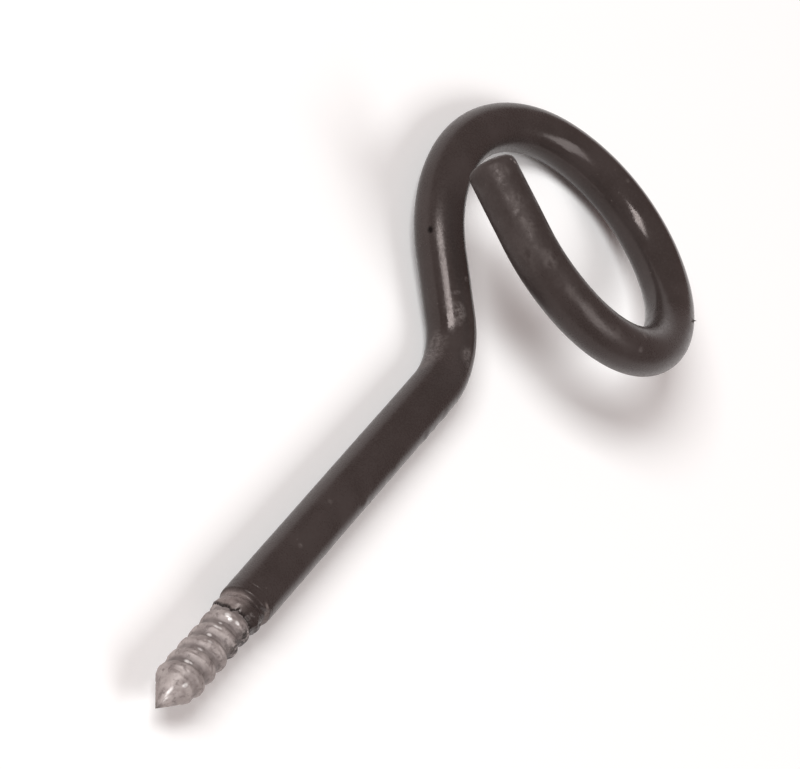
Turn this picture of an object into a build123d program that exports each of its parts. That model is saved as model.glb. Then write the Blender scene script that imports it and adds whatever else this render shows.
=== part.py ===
from build123d import *
from math import radians, tan
import os

# Screw-in cable hook: one steel rod bent into an open ring, with a wood-screw thread at its straight
# end, and a plastic coating over everything but the thread. Millimetres, +Z up. The hook lies as it
# comes to rest on a table at z = 0, on its bend and on the start of its ring, with its shank along X.
# The origin is on the table, in the middle of the hook's footprint.

os.makedirs("parts", exist_ok=True)

# Rod and coating
rod_diameter = 6.35
coating_thickness = 0.325
end_round = 1.1  # edge radius of the coated free end
lip_round = 0.2  # edge radius where the coating stops at the thread

# Wood-screw thread
thread_length = 22.9  # point to coating
thread_crest_diameter = 6.3
thread_root_diameter = 5.2
thread_pitch = 2.75
thread_crest_width = 1.0
thread_foot_width = 2.3
thread_sunk = 0.15  # the ridge starts this far below the root, so that it joins the core
thread_lead_in = 3.33  # the ridge starts this far from the tip, inside the cone
thread_runout = 0.8  # the last turn fades out over this length, before the coating
point_angle = 31.0  # half angle of the cone

# Bent shape, along the rod's centreline
shank_length = 49.9  # coated straight part
bend_radius = 12.5
bend_angle = 54.6
neck_length = 9.0  # straight part between the bend and the ring
ring_inner_diameter = 31.75
ring_sweep = 346.0
ring_tilt = 4.2  # turn of the ring's start out of the bend's plane
ring_arcs = 6
first_twist = 12.5  # turn of the ring's plane between its first two arcs, which opens it sideways
last_twist = 1.2  # the same between its last two arcs, where the ring is almost flat
tail_length = 10.6  # straight free end

# How it lies
lie_roll = 6.3  # turn about the shank's axis
lie_rise = 1.4  # the point lies higher than the bend

rod_radius = rod_diameter / 2
coated_radius = rod_radius + coating_thickness
ring_radius = ring_inner_diameter / 2 + coated_radius
crest_radius = thread_crest_diameter / 2
root_radius = thread_root_diameter / 2


def turned(direction, axis, angle):
    """A direction turned about an axis through the origin, in degrees."""
    return direction.rotate(Axis((0, 0, 0), tuple(axis)), angle)


def straight(at, ahead, length):
    """A straight run: what it needs to be drawn, and where it ends."""
    return ("straight", at, ahead, length), at + ahead * length


def arc(at, ahead, inward, radius, angle):
    """An arc that curves towards inward: what it needs to be drawn, its end, and both directions there."""
    centre = at + inward * radius
    normal = ahead.cross(inward)
    end = centre - turned(inward, normal, angle) * radius
    run = ("arc", at, ahead, centre, normal, angle)
    return run, end, turned(ahead, normal, angle), turned(inward, normal, angle)


def centreline(tail):
    """The coated length as a list of straight runs and arcs, from the thread to the free end."""
    at, ahead, inward = Vector(-shank_length, 0, 0), Vector(1, 0, 0), Vector(0, 1, 0)
    runs = []
    run, at = straight(at, ahead, shank_length)
    runs.append(run)
    run, at, ahead, inward = arc(at, ahead, inward, bend_radius, bend_angle)
    runs.append(run)
    run, at = straight(at, ahead, neck_length)
    runs.append(run)
    inward = turned(inward, ahead, 180 + ring_tilt)
    for i in range(ring_arcs):
        if i > 0:
            share = (i - 1) / max(ring_arcs - 2, 1)
            twist = first_twist + (last_twist - first_twist) * share
            inward = turned(inward, ahead, -twist)
        run, at, ahead, inward = arc(at, ahead, inward, ring_radius, ring_sweep / ring_arcs)
        runs.append(run)
    run, at = straight(at, ahead, tail)
    runs.append(run)
    return runs


def rounded_cylinder(at, ahead, length, radius, edge_round):
    """A straight run whose far end has a rounded edge."""
    body = Solid.make_cylinder(radius, length, Plane(origin=at, z_dir=ahead))
    far_edge = body.edges().filter_by(GeomType.CIRCLE).sort_by_distance(at + ahead * length)[0]
    return body.fillet(edge_round, [far_edge])


def bar(radius, tail, edge_round):
    """A round bar of this radius along the whole centreline."""
    runs = centreline(tail)
    pieces = []
    for run in runs[:-1]:
        if run[0] == "straight":
            kind, at, ahead, length = run
            pieces.append(Solid.make_cylinder(radius, length, Plane(origin=at, z_dir=ahead)))
        else:
            kind, at, ahead, centre, normal, angle = run
            section = Face(Wire.make_circle(radius, Plane(origin=at, z_dir=ahead)))
            pieces.append(Solid.revolve(section, angle, Axis(tuple(centre), tuple(normal))))
    kind, at, ahead, length = runs[-1]
    pieces.append(rounded_cylinder(at, ahead, length, radius, edge_round))
    whole = pieces[0]
    for piece in pieces[1:]:
        whole = whole.fuse(piece)
    return whole


def threaded_end():
    """The bare end: a root core with one helical ridge, both inside the outline of crest and point."""
    start = -shank_length - thread_length
    stop = -shank_length
    ridge_start = start + thread_lead_in
    helix = Helix(
        pitch=thread_pitch,
        height=stop - ridge_start - thread_crest_width,
        radius=root_radius - thread_sunk,
        center=(ridge_start, 0, 0),
        direction=(1, 0, 0),
    )
    depth = crest_radius - root_radius + 2 * thread_sunk
    section = Plane(origin=helix @ 0, x_dir=(1, 0, 0), z_dir=helix % 0) * Polygon(
        (-thread_foot_width / 2, 0),
        (thread_foot_width / 2, 0),
        (thread_crest_width / 2, depth),
        (-thread_crest_width / 2, depth),
        align=None,
    )
    ridge = sweep(section, path=helix, is_frenet=True).solid()
    core = Solid.make_cylinder(root_radius, thread_length, Plane((start, 0, 0), z_dir=(1, 0, 0)))
    point_length = crest_radius / tan(radians(point_angle))
    outline = make_face(
        Polyline(
            (start, 0, 0),
            (start + point_length, 0, crest_radius),
            (stop - thread_runout, 0, crest_radius),
            (stop, 0, root_radius),
            (stop, 0, 0),
            close=True,
        )
    )
    envelope = revolve(outline, Axis.X, 360).solid()
    return core.fuse(ridge).intersect(envelope)


thread = threaded_end()
rod_bar = bar(rod_radius, tail_length - coating_thickness, end_round - coating_thickness)
coating_bar = bar(coated_radius, tail_length, end_round)
lip = coating_bar.edges().filter_by(GeomType.CIRCLE).sort_by_distance((-shank_length, 0, 0))[0]
coating_bar = coating_bar.fillet(lip_round, [lip])

rod = (Part() + rod_bar + thread).solid()
coating = (Part() + coating_bar - rod_bar).solid()

lie = Rot(0, lie_rise, 0) * Rot(lie_roll, 0, 0)
box = (lie * Compound([rod, coating])).bounding_box()
place = Pos(-box.center().X, -box.center().Y, -box.min.Z) * lie
steel_rod = place * rod
plastic_coating = place * coating

export_step(steel_rod, "parts/steel_rod.step")
export_step(plastic_coating, "parts/plastic_coating.step")
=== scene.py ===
import math

import bpy
import numpy as np
from mathutils import Matrix, Vector, noise


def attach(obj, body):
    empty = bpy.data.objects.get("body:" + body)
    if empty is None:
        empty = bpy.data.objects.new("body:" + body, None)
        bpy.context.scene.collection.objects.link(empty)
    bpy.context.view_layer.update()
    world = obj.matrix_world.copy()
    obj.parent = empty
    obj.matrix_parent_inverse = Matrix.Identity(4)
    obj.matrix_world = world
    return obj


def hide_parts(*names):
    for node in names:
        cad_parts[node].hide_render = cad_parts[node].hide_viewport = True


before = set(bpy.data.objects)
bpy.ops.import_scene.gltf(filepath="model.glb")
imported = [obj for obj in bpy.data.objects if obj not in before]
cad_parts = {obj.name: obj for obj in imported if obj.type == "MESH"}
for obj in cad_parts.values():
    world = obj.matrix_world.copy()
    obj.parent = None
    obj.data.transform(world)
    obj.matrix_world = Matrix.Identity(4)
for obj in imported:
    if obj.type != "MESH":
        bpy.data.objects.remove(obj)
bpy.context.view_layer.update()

scene = bpy.context.scene
MM = 0.001

# Sizes as in the part's source, in millimetres
COATED_RADIUS = 3.5
ROD_RADIUS = 3.175
END_ROUND = 1.1
LIP_ROUND = 0.2
THREAD_LENGTH = 22.9
CREST_RADIUS = 3.15
ROOT_RADIUS = 2.6
PITCH = 2.75
CREST_WIDTH = 1.0
FOOT_WIDTH = 2.3
LEAD_IN = 3.33
POINT_ANGLE = math.radians(31.0)
SHANK = 49.9
BEND_RADIUS = 12.5
BEND_ANGLE = math.radians(54.6)
NECK = 9.0
RING_RADIUS = 19.375
RING_SWEEP = math.radians(346.0)
RING_TILT = math.radians(4.2)
RING_ARCS = 6
FIRST_TWIST = math.radians(12.5)
LAST_TWIST = math.radians(1.2)
TAIL = 10.6
LIE = Matrix.Rotation(math.radians(1.4), 3, "Y") @ Matrix.Rotation(math.radians(6.3), 3, "X")
PLACE = Vector((9.2115, -1.6984, 3.5483))  # where the start of the bend lies

# Sizes that only the scene has, in millimetres
END_DOME = 0.75  # the dipped end swells this far past the rod's end
END_POWER = 0.62  # how blunt that dome is: 1 is an ellipse, and smaller is squarer
END_RINGS = 29
LIP_RINGS = 6
ROD_AROUND = 96
COATING_AROUND = 80
THREAD_RINGS = 300
ROD_STEP = 1.5
COATING_STEP = 0.45
SKIN_GAP = 0.01  # between the rod and what covers it
MOUTH_DEPTH = 1.5  # how deep the coating's skin goes in around the rod at its lip
FILM_START = -49.7
FILM_STEPS = 46
FILM_AROUND = 192
TIP = -SHANK - THREAD_LENGTH
FACING = 66.0  # angle about the shank that the photograph shows in front, in degrees
AHEAD = Vector((1, 0, 0))
SIDE = Vector((0, 1, 0))


def centreline(step):
    """The coated length's line from the thread to the free end, before it is laid down: distance,
    point, direction and a side direction that doesn't twist, one row each."""
    at, ahead, inward, side = AHEAD * -SHANK, AHEAD.copy(), SIDE.copy(), SIDE.copy()
    rows = [(0.0, at.copy(), ahead.copy(), side.copy())]
    done = 0.0

    def straight(length):
        nonlocal at, done
        count = max(1, round(length / step))
        for i in range(1, count + 1):
            gone = length * i / count
            rows.append((done + gone, at + ahead * gone, ahead.copy(), side.copy()))
        at = at + ahead * length
        done += length

    def arc(radius, angle):
        nonlocal at, ahead, inward, side, done
        centre, normal = at + inward * radius, ahead.cross(inward)
        count = max(2, round(radius * angle / step))
        for i in range(1, count + 1):
            turn = Matrix.Rotation(angle * i / count, 3, normal)
            point = centre - turn @ inward * radius
            rows.append((done + radius * angle * i / count, point, turn @ ahead, turn @ side))
        at, ahead, inward, side = point, turn @ ahead, turn @ inward, turn @ side
        done += radius * angle

    straight(SHANK)
    arc(BEND_RADIUS, BEND_ANGLE)
    straight(NECK)
    inward = Matrix.Rotation(math.pi + RING_TILT, 3, ahead) @ inward
    for i in range(RING_ARCS):
        if i > 0:
            twist = FIRST_TWIST + (LAST_TWIST - FIRST_TWIST) * (i - 1) / (RING_ARCS - 2)
            inward = Matrix.Rotation(-twist, 3, ahead) @ inward
        arc(RING_RADIUS, RING_SWEEP / RING_ARCS)
    straight(TAIL)
    return rows


def laid(point):
    """A point of the rod as it is bent, in millimetres, to where it lies, in metres."""
    return (LIE @ point + PLACE) * MM


def skin(name, rings, looped=False):
    """A closed mesh from rings of points. A looped one joins its last ring to its first. Each point is
    a pair: its place as laid, and its place on the straightened rod in millimetres, which the
    materials read."""
    count = len(rings[0])
    points = [laid_at for ring in rings for laid_at, straight_at in ring]
    places = [straight_at for ring in rings for laid_at, straight_at in ring]
    faces = []
    for i in range(len(rings) if looped else len(rings) - 1):
        here, there = i * count, (i + 1) % len(rings) * count
        for j in range(count):
            k = (j + 1) % count
            faces.append((here + j, here + k, there + k, there + j))
    if not looped:
        faces.append(tuple(range(count))[::-1])
        faces.append(tuple(range((len(rings) - 1) * count, len(rings) * count)))
    mesh = bpy.data.meshes.new(name)
    mesh.from_pydata([tuple(p) for p in points], [], faces)
    mesh.polygons.foreach_set("use_smooth", [True] * len(mesh.polygons))
    add_vectors(mesh, "straight", places)
    mesh.update()
    piece = bpy.data.objects.new(name, mesh)
    scene.collection.objects.link(piece)
    return piece


def add_vectors(mesh, name, vectors):
    """One vector per point of a mesh, for its material to read."""
    values = mesh.attributes.new(name, "FLOAT_VECTOR", "POINT")
    values.data.foreach_set("vector", [c for vector in vectors for c in vector])


def smooth(low, high, value):
    t = min(1.0, max(0.0, (value - low) / (high - low)))
    return t * t * (3 - 2 * t)


def bump_at(distance, reach):
    """1 at the middle of a small bump, falling smoothly to 0 at its reach."""
    return (1 - min(1.0, distance / reach) ** 2) ** 2


def around(turn):
    """Cosine and sine of an angle in turns."""
    return math.cos(turn * math.tau), math.sin(turn * math.tau)


def angle_from(turn, angle):
    """How far a turn is from an angle in degrees, between -180 and 180."""
    return (turn * 360 - angle + 180) % 360 - 180


def ring_round(at, ahead, side, done, radius, count):
    """One ring of a skin. Its radius is a number, or a function of the turn about the rod."""
    other = ahead.cross(side)
    ring = []
    for j in range(count):
        turn = j / count
        c, s = around(turn)
        r = radius(turn) if callable(radius) else radius
        ring.append((laid(at + (side * c + other * s) * r), (done, r * c, r * s)))
    return ring


# The rod: its bare thread is a height field over the shank, and the rest runs inside the coating
CREST_WEAR = 0.26
DENT_DEPTH = 0.22
ROOT_UNEVEN = 0.14
RIDGE_WANDER = 0.16
CONE_WEAR = 0.11  # a share of the cone's radius
CONE_BLEND = 0.12
GROOVE_END = -51.5  # where the last groove has run out on most sides, from the start of the bend
GROOVE_LATER = 0.95  # how much nearer the bend it runs out on the side that shows it
POINT_RADIUS = 0.02
FILM_EDGE_THICKNESS = 0.05
FILM_THICKNESS = 0.12  # what it has more than that away from its edge
FILM_FADE = 0.3
COATING_UNEVEN = 0.05


def uneven(x, turn, along, across, shift=0.0):
    """Smooth noise on the thread: how fine it is along and round the shank, and where it starts."""
    c, s = around(turn)
    return noise.noise(Vector((x * along + shift, c * across, s * across)))


def groove_end(turn):
    """Where the last groove has run out into the full rod: later on the side that shows it."""
    offset = angle_from(turn, FACING)
    return GROOVE_END + GROOVE_LATER * smooth(20, 60, offset) * (1 - smooth(165, 180, offset))


def thread_radius(x, turn):
    """Radius at distance x from the start of the bend, at an angle about the shank in turns."""
    ridge_start, ridge_end = TIP + LEAD_IN, -SHANK - CREST_WIDTH
    along = (x - ridge_start) / PITCH - (turn - 0.25)
    centre = x - (along - round(along)) * PITCH
    rolled = 0.5 + 0.5 * uneven(x, turn, 0.8, 1.9)
    dents = max(0.0, uneven(x, turn, 1.7, 4.5, 9) - 0.1)
    wander = RIDGE_WANDER * uneven(x, turn, 0.9, 2.6, 40)
    crest = CREST_RADIUS - CREST_WEAR * max(0.0, rolled - 0.45) - DENT_DEPTH * dents
    root = ROOT_RADIUS + ROOT_UNEVEN * rolled
    radius = root
    if ridge_start - 0.01 <= centre <= ridge_end + 0.01:
        flank = FOOT_WIDTH / 2 - CREST_WIDTH / 2 * 0.5
        share = (FOOT_WIDTH / 2 - abs(x - centre - wander)) / flank
        radius = root + (crest - root) * smooth(0.0, 1.0, share)
    full = ROD_RADIUS - 0.02
    run_out = groove_end(turn)
    radius = max(radius, root + (full - root) * smooth(run_out - 0.35, run_out + 0.45, x))
    worn = 1 - CONE_WEAR * max(0.0, uneven(x, turn, 1.6, 2.6, 20) + 0.12)
    cone = (x - TIP) * math.tan(POINT_ANGLE) * worn
    if abs(cone - radius) < CONE_BLEND:
        radius = min(radius, cone) - (CONE_BLEND - abs(radius - cone)) ** 2 / (4 * CONE_BLEND)
    return max(min(radius, cone), POINT_RADIUS)


def make_threaded_rod():
    stations = [TIP + 0.02, TIP + 0.06, TIP + 0.14]
    stations += list(np.linspace(TIP + 0.24, -SHANK, THREAD_RINGS))
    rings = []
    for x in stations:
        radius = lambda turn: thread_radius(x, turn)
        rings.append(ring_round(AHEAD * x, AHEAD, SIDE, x + SHANK, radius, ROD_AROUND))
    line = centreline(ROD_STEP)
    for done, at, ahead, side in line[1:]:
        if done < line[-1][0] - 0.5:
            rings.append(ring_round(at, ahead, side, done, ROD_RADIUS, ROD_AROUND))
    return skin("threaded_rod", rings)


# The coating's torn edge: a thin film that still covers the last crest of the thread
TORN_EDGE = [  # angle from the facing side in degrees, distance from the start of the bend
    (-180, -52.7), (-140, -53.3), (-100, -53.8), (-70, -54.4), (-50, -54.7), (-30, -54.75),
    (-20, -55.0), (-12, -54.8), (-6, -54.25), (2, -54.6), (10, -54.5), (30, -54.4), (50, -54.3),
    (80, -54.0), (110, -53.4), (140, -52.8), (180, -52.7),
]


def torn_at(turn):
    """Where the film ends, a little wavy and jagged."""
    angles, ends = zip(*TORN_EDGE)
    edge = float(np.interp(angle_from(turn, FACING), angles, ends))
    c, s = around(turn)
    wavy = 0.16 * noise.noise(Vector((3, c * 7, s * 7)))
    jagged = 0.08 * noise.noise(Vector((8, c * 19, s * 19)))
    return edge + wavy + jagged


def film_outside(x, turn, share):
    """Past the last groove the coating has its full thickness, and the film is all but flush with it."""
    near = [thread_radius(x + d, turn) for d in (-0.3, -0.15, 0.0, 0.15, 0.3)]
    thick = FILM_THICKNESS * (1 - smooth(0.9, 1.0, share)) + FILM_EDGE_THICKNESS
    film = max(sum(near) / len(near), thread_radius(x, turn)) + thick
    swell = COATING_UNEVEN * noise.noise(Vector((x * 0.9, turn * 9, 4)))
    full = COATED_RADIUS - 0.05 - swell
    run_out = groove_end(turn)
    return film + (full - film) * smooth(run_out - FILM_FADE, run_out + FILM_FADE, x)


def film_inside(x, turn, share):
    return thread_radius(x, turn) + SKIN_GAP


def film_ring(share, radius):
    """One ring of the film, a share of the way from the coating to the torn edge."""
    ring = []
    for j in range(FILM_AROUND):
        turn = j / FILM_AROUND
        x = FILM_START + (torn_at(turn) - FILM_START) * share
        r = radius(x, turn, share)
        c, s = around(turn)
        ring.append((laid(Vector((x, r * c, r * s))), (x + SHANK, r * c, r * s)))
    return ring


def make_torn_film():
    """A loop of rings, out along the film's outside and back along its inside."""
    shares = [k / FILM_STEPS for k in range(FILM_STEPS + 1)]
    rings = [film_ring(share, film_outside) for share in shares]
    rings += [film_ring(share, film_inside) for share in reversed(shares)]
    piece = skin("torn_film", rings, looped=True)
    torn = [(share, 0.0, 0.0) for share in shares + shares[::-1] for j in range(FILM_AROUND)]
    add_vectors(piece.data, "torn", torn)
    return piece


# The coating: one closed skin from the thread to the free end, slightly uneven as dipped plastic is
LUMPS = [  # distance along the rod from the thread, angle round it in degrees, height and reach
    (47.2, 146, 0.10, 1.6), (41.7, 144, 0.14, 1.3), (44.3, 150, 0.08, 1.0), (24.5, 126, 0.10, 1.2),
    (186.1, 44, 0.16, 0.6), (33.0, 140, 0.05, 2.0), (15.0, 150, 0.05, 2.2), (146.1, 38, 0.16, 0.5),
    (89.1, 8, 0.05, 0.6), (192.6, 34, 0.05, 0.9), (176.4, 40, 0.04, 0.8),
]


def coating_radius(done, turn):
    c, s = (value * COATED_RADIUS for value in around(turn))
    radius = COATED_RADIUS - 0.02 * (1 + noise.noise(Vector((done * 0.16, c * 0.22, s * 0.22))))
    radius -= 0.008 * (1 + noise.noise(Vector((done * 0.6, c * 0.6, s * 0.6))))
    for along, angle, height, reach in LUMPS:
        off = math.radians(angle_from(turn, angle)) * COATED_RADIUS
        radius += height * bump_at(math.hypot(done - along, off), reach)
    return radius


def make_coating(line):
    done, at, ahead, side = line[0]
    rings = []
    for inward in (MOUTH_DEPTH, 0.02):
        place = at + AHEAD * inward
        rings.append(ring_round(place, AHEAD, SIDE, inward, ROD_RADIUS + SKIN_GAP, COATING_AROUND))
    for k in range(LIP_RINGS):
        a = k / (LIP_RINGS - 1) * math.pi / 2
        inward, drop = LIP_ROUND * (1 - math.cos(a)), LIP_ROUND * (1 - math.sin(a))
        radius = lambda turn: coating_radius(0, turn) - drop
        rings.append(ring_round(at + AHEAD * inward, AHEAD, SIDE, inward, radius, COATING_AROUND))
    total = line[-1][0]
    for done, at, ahead, side in line[1:]:
        if LIP_ROUND + 0.2 < done < total - END_ROUND - 0.1:
            radius = lambda turn: coating_radius(done, turn)
            rings.append(ring_round(at, ahead, side, done, radius, COATING_AROUND))
    done, at, ahead, side = line[-1]
    for k in range(1, END_RINGS):
        a = k / END_RINGS * math.pi / 2
        width = math.cos(a) ** END_POWER
        past = (END_ROUND + END_DOME) * math.sin(a) ** END_POWER - END_ROUND
        radius = lambda turn: coating_radius(total + past, turn) * width
        rings.append(ring_round(at + ahead * past, ahead, side, total + past, radius, COATING_AROUND))
    return skin("coating", rings)


# A bristle of loose plastic on the ring's outer side
BURR_AT = 146.1
BURR_TURN = math.radians(38)
BURR_SUNK = 0.15  # its foot starts this far inside the coating
BURR_LENGTH = 0.6
BURR_LEAN = 0.18
BURR_FOOT = 0.13
BURR_POINT = 0.012
BURR_RINGS = 7
BURR_AROUND = 10


def make_burr(line):
    done, at, ahead, side = min(line, key=lambda row: abs(row[0] - BURR_AT))
    c, s = math.cos(BURR_TURN), math.sin(BURR_TURN)
    out = side * c + ahead.cross(side) * s
    across = out.cross(ahead)
    rings = []
    for k in range(BURR_RINGS):
        share = k / (BURR_RINGS - 1)
        high = COATED_RADIUS - BURR_SUNK + BURR_LENGTH * share
        middle = at + out * high + ahead * (BURR_LEAN * share * share)
        width = BURR_FOOT * (1 - share) ** 0.7 + BURR_POINT
        ring = []
        for j in range(BURR_AROUND):
            along, aside = (value * width for value in around(j / BURR_AROUND))
            straight_at = (done + along, COATED_RADIUS * c, COATED_RADIUS * s)
            ring.append((laid(middle + ahead * along + across * aside), straight_at))
        rings.append(ring)
    return skin("burr", rings)


threaded_rod = make_threaded_rod()
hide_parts("steel_rod")
torn_film = make_torn_film()
coated_line = centreline(COATING_STEP)
coating = make_coating(coated_line)
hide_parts("plastic_coating")
burr = make_burr(coated_line)


# Materials
class Shading:
    """A material's nodes, with a short call for each kind that the materials need. A value is either a
    constant or another node's output."""

    def __init__(self, name):
        self.material = bpy.data.materials.new(name)
        self.material.use_nodes = True
        self.nodes = self.material.node_tree.nodes
        self.links = self.material.node_tree.links
        self.shader = self.nodes["Principled BSDF"]

    def put(self, value, socket):
        if hasattr(value, "links"):
            self.links.new(value, socket)
        else:
            socket.default_value = value

    def read(self, name):
        made = self.nodes.new("ShaderNodeAttribute")
        made.attribute_name = name
        return made.outputs["Vector"]

    def parts(self, vector):
        made = self.nodes.new("ShaderNodeSeparateXYZ")
        self.links.new(vector, made.inputs[0])
        return made.outputs["X"], made.outputs["Y"], made.outputs["Z"]

    def noise(self, where, scale, detail, rough=0.55):
        made = self.nodes.new("ShaderNodeTexNoise")
        self.put(where, made.inputs["Vector"])
        self.put(scale, made.inputs["Scale"])
        self.put(detail, made.inputs["Detail"])
        self.put(rough, made.inputs["Roughness"])
        return made.outputs["Fac"]

    def ramp(self, value, low, high, to_low=0.0, to_high=1.0):
        made = self.nodes.new("ShaderNodeMapRange")
        made.interpolation_type = "SMOOTHSTEP"
        self.put(value, made.inputs["Value"])
        self.put(low, made.inputs["From Min"])
        self.put(high, made.inputs["From Max"])
        self.put(to_low, made.inputs["To Min"])
        self.put(to_high, made.inputs["To Max"])
        return made.outputs["Result"]

    def mix(self, share, low, high):
        """One colour to another, by a share from 0 to 1."""
        made = self.nodes.new("ShaderNodeMix")
        made.data_type = "RGBA"
        self.put(share, made.inputs[0])
        self.put(low, made.inputs[6])
        self.put(high, made.inputs[7])
        return made.outputs[2]

    def maths(self, operation, whole, *others):
        """Values joined one after the other. A value with no others stays as it is."""
        for value in others:
            made = self.nodes.new("ShaderNodeMath")
            made.operation = operation
            self.put(whole, made.inputs[0])
            self.put(value, made.inputs[1])
            whole = made.outputs[0]
        return whole

    def square_root(self, value):
        made = self.nodes.new("ShaderNodeMath")
        made.operation = "SQRT"
        self.put(value, made.inputs[0])
        return made.outputs[0]

    def product(self, *values):
        return self.maths("MULTIPLY", *values)

    def vector_maths(self, operation, *values):
        made = self.nodes.new("ShaderNodeVectorMath")
        made.operation = operation
        for value, socket in zip(values, made.inputs):
            self.put(value, socket)
        return made.outputs["Value" if operation in ("LENGTH", "DOT_PRODUCT") else "Vector"]

    def between(self, along, starts, full_from, full_to, ends):
        """1 on a stretch of the rod, falling to 0 at both its ends."""
        return self.product(self.ramp(along, starts, full_from), self.ramp(along, ends, full_to))

    def facing(self, where, off_angle):
        """Cosine of the angle round the thread from a side that is off the facing side by some degrees."""
        side = math.radians(FACING + off_angle)
        normal = (0, math.cos(side) / CREST_RADIUS, math.sin(side) / CREST_RADIUS)
        return self.vector_maths("DOT_PRODUCT", where, normal)

    def spot(self, where, along, angle, reach, stretch=1.0, radius=COATED_RADIUS):
        """1 at a spot on the rod, falling to 0 at its reach in millimetres; stretched along the rod."""
        turn = math.radians(angle)
        centre = (along, radius * math.cos(turn), radius * math.sin(turn))
        away = self.vector_maths("SUBTRACT", where, centre)
        squeezed = self.vector_maths("MULTIPLY", away, (1 / stretch, 1, 1))
        return self.ramp(self.vector_maths("LENGTH", squeezed), reach, reach * 0.25)

    def marks(self, where, spots, radius=COATED_RADIUS):
        """The strongest of several spots."""
        strengths = []
        for along, angle, reach, stretch, strength in spots:
            one = self.spot(where, along, angle, reach, stretch, radius)
            strengths.append(self.product(one, strength))
        return self.maths("MAXIMUM", *strengths)

    def finish(self, colour, rough, height, strength, distance):
        """Feeds the shader its colour and roughness, and a bump whose distance is in metres."""
        bump = self.nodes.new("ShaderNodeBump")
        bump.inputs["Strength"].default_value = strength
        bump.inputs["Distance"].default_value = distance
        self.links.new(height, bump.inputs["Height"])
        self.links.new(colour, self.shader.inputs["Base Color"])
        self.links.new(rough, self.shader.inputs["Roughness"])
        self.links.new(bump.outputs["Normal"], self.shader.inputs["Normal"])
        return self.material


# Each mark: distance along the rod, angle round it in degrees, reach, stretch along it, strength
SCUFFS = [
    (53.8, 2, 2.6, 1.3, 0.8), (51.4, 356, 2.2, 1.0, 0.75), (56.4, 12, 2.2, 1.5, 0.6),
    (61.8, 64, 1.4, 1.4, 0.9), (60.6, 56, 1.2, 1.2, 0.8), (64.6, 62, 1.1, 0.4, 0.6),
    (55.6, 92, 1.5, 1.2, 0.65), (54.6, 112, 1.5, 1.0, 0.6), (63.0, 44, 1.2, 2.0, 0.5),
    (165.3, 22, 0.6, 1.0, 0.6), (164.3, 60, 0.6, 1.0, 0.6), (121.3, 84, 0.5, 1.0, 0.5),
    (10.0, 70, 0.5, 1.0, 0.5), (19.2, 56, 0.5, 1.0, 0.5), (66.5, 100, 0.7, 0.8, 0.6),
]
BLOOM_AND_SHEEN = [  # whitish patches on the free leg: bloom, and partly painted sheen along its highlight
    (196.6, 16, 1.3, 1.2, 0.6), (192.2, 10, 1.5, 1.5, 0.7), (188.6, 10, 1.4, 1.6, 0.7),
    (183.6, 14, 1.3, 1.5, 0.65), (178.8, 14, 1.2, 1.6, 0.5), (175.3, 20, 1.2, 1.5, 0.45),
    (170.5, 24, 1.2, 1.8, 0.4), (185.5, 335, 1.6, 2.4, 0.35),
]
END_RIM_HIGHLIGHT = [(197.3, 62, 0.4, 0.8, 0.4), (197.8, 52, 0.3, 0.8, 0.3)]  # painted highlight: a light rim on the free end
GLINTING_SPECKS = [  # bare metal on the thread, with painted glints where it shines
    (-15.9, 46, 0.65, 0.6, 1.0), (-15.8, 56, 0.5, 0.5, 0.8), (-10.3, 44, 0.55, 0.6, 0.9),
    (-8.9, 47, 0.6, 0.5, 0.9), (-8.8, 56, 0.45, 0.6, 0.7), (-7.7, 46, 0.4, 0.6, 0.7),
    (-6.3, 49, 0.6, 0.7, 1.0), (-6.6, 60, 0.45, 0.7, 0.7), (-6.3, 79, 0.5, 0.7, 0.8),
    (-18.8, 88, 0.5, 0.8, 0.6), (-20.6, 62, 0.7, 1.3, 0.55), (-21.4, 80, 0.6, 1.0, 0.5),
    (-13.2, 52, 0.6, 0.5, 0.5), (-11.6, 60, 0.5, 0.5, 0.4),
]
PIT = (73.3, 22, 0.62)  # the one dark speck on the first leg

# Colours
PLASTIC_DARK = (0.041, 0.032, 0.030, 1)
PLASTIC_LIGHT = (0.053, 0.042, 0.040, 1)
PLASTIC_SHEEN = (1.0, 0.87, 0.84, 1)
THIN_FILM_AND_SHEEN_GREY = (0.22, 0.185, 0.175, 1)
GROOVE_HIGHLIGHT_GREY = (0.20, 0.17, 0.16, 1)
TORN_EDGE_SHADE_BLACK = (0.020, 0.016, 0.015, 1)
DUST_GREY = (0.060, 0.050, 0.047, 1)
BLOOM_AND_SHEEN_GREY = (0.10, 0.085, 0.081, 1)
SCUFF_GREY = (0.20, 0.175, 0.168, 1)
RIM_HIGHLIGHT_GREY = (0.45, 0.40, 0.385, 1)
SPECK_GREY = (0.26, 0.23, 0.22, 1)
PIT_BLACK = (0.004, 0.003, 0.003, 1)
ZINC_DARK = (0.29, 0.25, 0.24, 1)
ZINC_LIGHT = (0.47, 0.42, 0.405, 1)
ZINC_STAIN = (0.15, 0.125, 0.12, 1)
GRIME_AND_SHADE = (0.12, 0.10, 0.096, 1)
RESIDUE_AND_SHADE_BLACK = (0.045, 0.037, 0.035, 1)
BARE_METAL_GLINT = (0.92, 0.90, 0.885, 1)
FLOOR_LIT = (0.80, 0.77, 0.76, 1)
WHITE = (1.0, 1.0, 1.0, 1)


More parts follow.
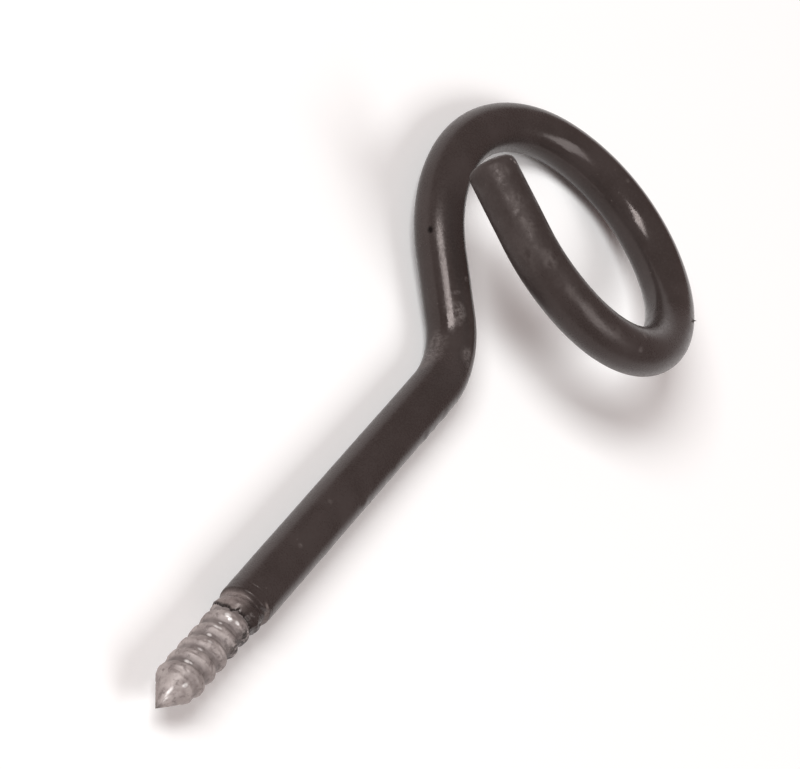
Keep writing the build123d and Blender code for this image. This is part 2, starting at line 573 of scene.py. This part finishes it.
def plastic(name):
    """What the coating and its torn film share: where they are on the rod, two noises, the colour and
    the roughness."""
    t = Shading(name)
    where = t.read("straight")
    cloud = t.noise(where, 0.16, 4)
    fine = t.noise(where, 1.1, 3)
    grain = t.noise(where, 3.4, 2)
    colour = t.mix(t.ramp(cloud, 0.3, 0.75), PLASTIC_DARK, PLASTIC_LIGHT)
    rough = t.ramp(cloud, 0.25, 0.75, 0.24, 0.32)
    rough = t.maths("ADD", rough, t.ramp(grain, 0.35, 0.65, -0.03, 0.07))
    t.shader.inputs["Specular IOR Level"].default_value = 0.28
    t.shader.inputs["Specular Tint"].default_value = PLASTIC_SHEEN
    return t, where, fine, grain, colour, rough


def finish_plastic(t, colour, rough, fine, grain):
    height = t.maths("ADD", grain, t.product(fine, 0.8))
    return t.finish(colour, rough, height, 0.3, 0.00003)


def film_material():
    t, where, fine, grain, colour, rough = plastic("torn_film")
    along = t.parts(where)[0]
    # over the last crest the film is thin enough to look grey, with painted sheen on the side toward the
    # key and none on the side away from it
    thin_and_sheen = t.product(
        t.ramp(t.facing(where, -75), -0.05, 0.75),
        t.ramp(fine, 0.3, 0.6, 0.55, 1.0),
        t.ramp(along, -1.45, -2.0),
    )
    colour = t.mix(thin_and_sheen, colour, THIN_FILM_AND_SHEEN_GREY)
    # painted highlight: a light grey line along the groove near the coating's end, on one side only
    line = t.product(
        t.between(along, -1.05, -0.75, -0.6, -0.35),
        t.ramp(t.facing(where, 74), 0.72, 0.9),
        t.ramp(fine, 0.3, 0.55, 0.4, 0.9),
    )
    colour = t.mix(line, colour, GROOVE_HIGHLIGHT_GREY)
    # painted shade: the film turns near-black along its torn edge, for the thick lip and the shade it
    # casts
    torn = t.parts(t.read("torn"))[0]
    edge = t.product(t.ramp(torn, 0.90, 0.96), t.ramp(grain, 0.3, 0.5, 0.55, 1.0))
    colour = t.mix(edge, colour, TORN_EDGE_SHADE_BLACK)
    return finish_plastic(t, colour, rough, fine, grain)


def coating_material():
    t, where, fine, grain, colour, rough = plastic("black_coating")
    along = t.parts(where)[0]
    # the first leg and the far side of the ring are the glossiest, and the free leg is dull and mottled
    leg = t.between(along, 50.0, 57.0, 60.0, 82.0)
    far_side = t.between(along, 100.0, 110.0, 140.0, 150.0)
    gloss = t.maths("MAXIMUM", leg, far_side)
    rough = t.maths("SUBTRACT", rough, t.product(gloss, 0.14))
    dull = t.ramp(along, 174.0, 190.0)
    mottled = t.ramp(t.noise(where, 0.62, 4, 0.65), 0.36, 0.62, 0.04, 0.34)
    rough = t.maths("ADD", rough, t.product(dull, mottled))
    dust = t.ramp(t.noise(where, 2.4, 6, 0.75), 0.42, 0.72, 0.0, 0.55)
    colour = t.mix(dust, colour, DUST_GREY)
    # the whitish patches are bloom, and partly painted sheen where the highlight runs along the free leg
    bloom_and_sheen = t.product(t.marks(where, BLOOM_AND_SHEEN), t.ramp(fine, 0.32, 0.62))
    colour = t.mix(bloom_and_sheen, colour, BLOOM_AND_SHEEN_GREY)
    scuffs = t.product(t.marks(where, SCUFFS), t.ramp(t.noise(where, 1.5, 6, 0.75), 0.3, 0.75))
    colour = t.mix(scuffs, colour, SCUFF_GREY)
    # painted highlight on the rim of the free end
    colour = t.mix(t.marks(where, END_RIM_HIGHLIGHT), colour, RIM_HIGHLIGHT_GREY)
    specks = t.product(t.ramp(t.noise(where, 1.9, 1), 0.76, 0.84), 0.2)
    colour = t.mix(specks, colour, SPECK_GREY)
    colour = t.mix(t.spot(where, *PIT), colour, PIT_BLACK)
    worn = t.maths("MAXIMUM", bloom_and_sheen, scuffs)
    rough = t.maths("ADD", rough, t.product(worn, 0.2))
    return finish_plastic(t, colour, rough, fine, grain)


def zinc_material():
    t = Shading("zinc")
    where = t.read("straight")
    along, across, up = t.parts(where)
    cloud = t.noise(where, 0.55, 5)
    patch = t.noise(where, 1.3, 4, 0.65)
    grain = t.noise(where, 6.0, 3)
    colour = t.mix(t.ramp(cloud, 0.3, 0.7), ZINC_DARK, ZINC_LIGHT)
    colour = t.mix(t.ramp(patch, 0.48, 0.72, 0.0, 0.8), colour, ZINC_STAIN)
    # grime and painted shade: darker in the grooves and on the tip
    out = t.square_root(t.maths("ADD", t.product(across, across), t.product(up, up)))
    groove = t.product(t.ramp(out, 2.95, 2.66, 0.0, 0.55), t.ramp(along, -18.5, -17.0))
    tip = t.ramp(along, -21.7, -22.7, 0.0, 0.8)
    colour = t.mix(t.maths("MAXIMUM", groove, tip), colour, GRIME_AND_SHADE)
    # black residue of the coating and painted shade on the crests nearest to it, on the side away from the
    # key light
    residue_and_shade = t.product(
        t.ramp(t.facing(where, 78), 0.62, 0.86),
        t.ramp(along, -12.5, -7.5),
        t.ramp(patch, 0.36, 0.56),
    )
    colour = t.mix(residue_and_shade, colour, RESIDUE_AND_SHADE_BLACK)
    # painted glints on specks of bare metal, at the place moved straight out or in to the crests' radius
    scaled = t.maths("DIVIDE", CREST_RADIUS, out)
    on_crest = t.nodes.new("ShaderNodeCombineXYZ")
    t.links.new(along, on_crest.inputs["X"])
    t.links.new(t.product(across, scaled), on_crest.inputs["Y"])
    t.links.new(t.product(up, scaled), on_crest.inputs["Z"])
    glints = t.marks(on_crest.outputs[0], GLINTING_SPECKS, CREST_RADIUS)
    colour = t.mix(glints, colour, BARE_METAL_GLINT)
    t.shader.inputs["Metallic"].default_value = 0.35
    rough = t.ramp(cloud, 0.3, 0.7, 0.5, 0.62)
    rough = t.maths("SUBTRACT", rough, t.product(glints, 0.2))
    height = t.maths("ADD", patch, t.product(grain, 0.35))
    return t.finish(colour, rough, height, 0.8, 0.00008)


black = coating_material()
coating.data.materials.append(black)
burr.data.materials.append(black)
torn_film.data.materials.append(film_material())
threaded_rod.data.materials.append(zinc_material())
for piece in (threaded_rod, torn_film, coating, burr):
    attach(piece, "root")

# Floor, lights and camera
FLOOR_REACH = 3
FLOOR_LIFT = 0.03
WORLD_COLOUR = (1, 0.63, 0.56, 1)
WORLD_STRENGTH = 0.165
LAMP_COLOUR = (0.985, 1.0, 1.0)
LAMP_DISTANCE = 2.0
AIM = Vector((0.02, 0.0, 0.005))


def floor_material():
    """Seen by the camera it is white and a little lifted; the light that it gives back is warmer."""
    t = Shading("floor")
    t.shader.inputs["Roughness"].default_value = 0.9
    t.shader.inputs["Specular IOR Level"].default_value = 0.0
    path = t.nodes.new("ShaderNodeLightPath")
    seen = t.maths("MAXIMUM", path.outputs["Is Camera Ray"], path.outputs["Is Glossy Ray"])
    t.links.new(t.mix(seen, FLOOR_LIT, WHITE), t.shader.inputs["Base Color"])
    lift = t.nodes.new("ShaderNodeEmission")
    lift.inputs["Color"].default_value = WHITE
    t.links.new(t.product(seen, FLOOR_LIFT), lift.inputs["Strength"])
    both = t.nodes.new("ShaderNodeAddShader")
    t.links.new(t.shader.outputs[0], both.inputs[0])
    t.links.new(lift.outputs[0], both.inputs[1])
    t.links.new(both.outputs[0], t.nodes["Material Output"].inputs["Surface"])
    return t.material


def lamp(name, direction, width, height, power):
    """A rectangular lamp that shines on the hook from a direction. Sizes are in metres."""
    data = bpy.data.lights.new(name, "AREA")
    data.shape = "RECTANGLE"
    data.size = width
    data.size_y = height
    data.energy = power
    data.color = LAMP_COLOUR
    made = bpy.data.objects.new(name, data)
    scene.collection.objects.link(made)
    towards = Vector(direction).normalized()
    made.location = AIM + towards * LAMP_DISTANCE
    made.rotation_mode = "QUATERNION"
    made.rotation_quaternion = (-towards).to_track_quat("-Z", "Y")


corners = [(-1, -1), (1, -1), (1, 1), (-1, 1)]
floor_mesh = bpy.data.meshes.new("floor")
floor_mesh.from_pydata([(x * FLOOR_REACH, y * FLOOR_REACH, 0) for x, y in corners], [], [(0, 1, 2, 3)])
floor_mesh.materials.append(floor_material())
floor = bpy.data.objects.new("floor", floor_mesh)
scene.collection.objects.link(floor)

world = bpy.data.worlds.new("studio")
scene.world = world
world.use_nodes = True
background = world.node_tree.nodes["Background"]
background.inputs["Color"].default_value = WORLD_COLOUR
background.inputs["Strength"].default_value = WORLD_STRENGTH

lamp("key_left", (-0.3615, 0.5482, 0.7542), 0.64, 0.95, 31.3)
lamp("fill_right", (-0.0205, -0.5920, 0.8057), 1.0, 1.0, 16.6)

# The camera's place in millimetres and its three directions, as fitted to the photograph
CAMERA_PLACE = Vector((-401.842, 132.752, 431.208))
CAMERA_RIGHT = Vector((0.495764, -0.578547, 0.647689))
CAMERA_UP = Vector((0.549192, 0.78659, 0.28225))
CAMERA_BACK = Vector((-0.672761, 0.215776, 0.707696))

camera = bpy.data.cameras.new("camera")
camera.sensor_width = 36.0
camera.lens = 202.5
camera.clip_start = 0.01
camera.clip_end = 20
eye = bpy.data.objects.new("camera", camera)
scene.collection.objects.link(eye)
turned = Matrix((CAMERA_RIGHT, CAMERA_UP, CAMERA_BACK)).transposed().to_4x4()
eye.matrix_world = Matrix.Translation(CAMERA_PLACE * MM) @ turned
scene.camera = eye
scene.view_settings.view_transform = "Standard"
